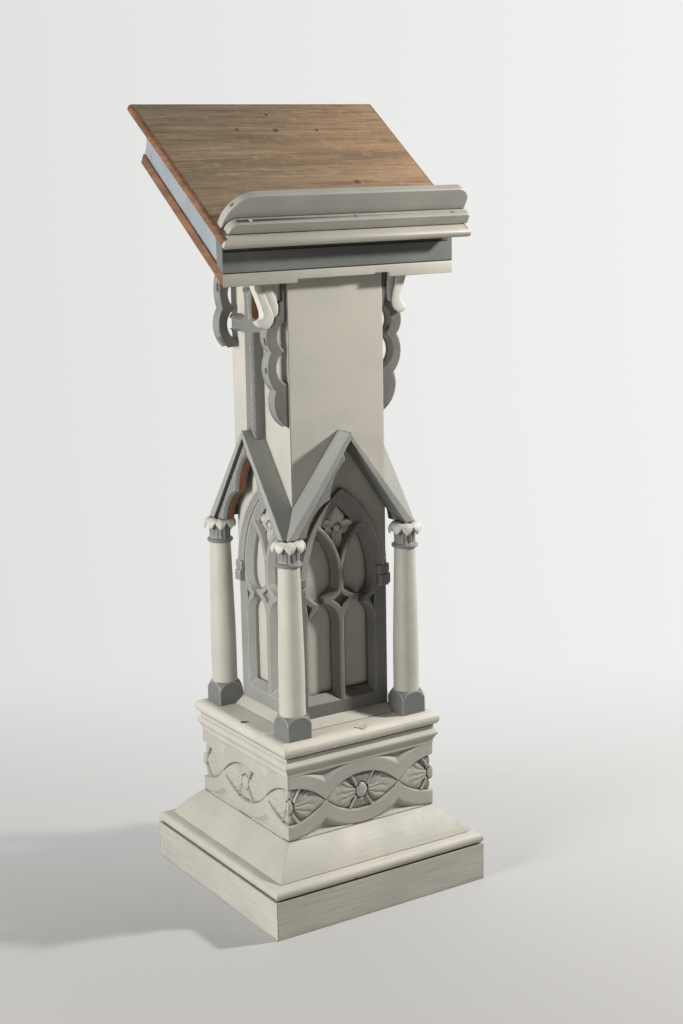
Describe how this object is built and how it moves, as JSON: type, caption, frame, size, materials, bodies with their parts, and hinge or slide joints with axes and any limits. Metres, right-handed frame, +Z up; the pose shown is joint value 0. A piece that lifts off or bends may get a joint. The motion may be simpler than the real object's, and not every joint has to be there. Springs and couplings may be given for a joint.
{
  "type": "pulpit",
  "caption": "Painted wooden pulpit: stepped plinth with carved frieze, square shaft with corner columns, traceried windows and gables, and a sloping reading desk with a book rest",
  "frame": {"origin": "centre of the plinth's underside, at floor level", "axes": "+Z up; the reader stands on the -Y side, where the desk is lowest and the book rest is; +X is to the reader's right"},
  "size_m": [0.461, 0.406, 1.2899],
  "materials": {
    "off_white_paint": "aged brushed oil paint, satin to matt",
    "grey_paint": "aged brushed oil paint, satin to matt",
    "blue_grey_paint": "aged brushed oil paint, satin to matt",
    "bare_timber": "bare unfinished timber, matt"
  },
  "bodies": {
    "root": {"plinth_board_front": "off_white_paint", "plinth_board_right": "off_white_paint", "plinth_board_back": "off_white_paint", "plinth_board_left": "off_white_paint", "frieze_panel_front": "off_white_paint", "frieze_panel_right": "off_white_paint", "frieze_panel_back": "off_white_paint", "frieze_panel_left": "off_white_paint", "plinth_moulding": "off_white_paint", "plinth_skirt": "off_white_paint", "frieze_cornice": "off_white_paint", "column_slab": "off_white_paint", "shaft_base": "off_white_paint", "column_front_left": "off_white_paint", "capital_front_left": "grey_paint", "column_front_right": "off_white_paint", "capital_front_right": "grey_paint", "column_back_left": "off_white_paint", "capital_back_left": "grey_paint", "column_back_right": "off_white_paint", "capital_back_right": "grey_paint", "shaft_board_front": "off_white_paint", "window_tracery_front": "grey_paint", "shaft_board_right": "off_white_paint", "window_tracery_right": "grey_paint", "shaft_board_back": "off_white_paint", "window_tracery_back": "grey_paint", "shaft_board_left": "off_white_paint", "window_tracery_left": "grey_paint", "desk_mounting_block": "bare_timber", "gable_roof_front_left": "grey_paint", "bargeboard_front_left": "grey_paint", "gable_roof_front_right": "grey_paint", "gable_roof_right_left": "grey_paint", "bargeboard_right_left": "grey_paint", "gable_roof_right_right": "grey_paint", "bargeboard_right_right": "grey_paint", "gable_roof_back_left": "grey_paint", "bargeboard_back_left": "grey_paint", "gable_roof_back_right": "grey_paint", "bargeboard_back_right": "grey_paint", "gable_roof_left_left": "grey_paint", "bargeboard_left_left": "grey_paint", "gable_roof_left_right": "grey_paint", "bargeboard_left_right": "grey_paint", "cross": "grey_paint", "bracket_front_left": "grey_paint", "bracket_front_right": "grey_paint", "bracket_back_left": "grey_paint", "bracket_back_right": "grey_paint", "leaf_left": "off_white_paint", "leaf_right": "off_white_paint", "desk_bottom_board": "off_white_paint", "desk_rail_front": "grey_paint", "desk_rail_back": "blue_grey_paint", "desk_rail_left": "blue_grey_paint", "desk_rail_right": "blue_grey_paint", "desk_top_board": "bare_timber", "book_rest_front": "off_white_paint", "book_rest_back": "off_white_paint"}
  },
  "joints": []
}
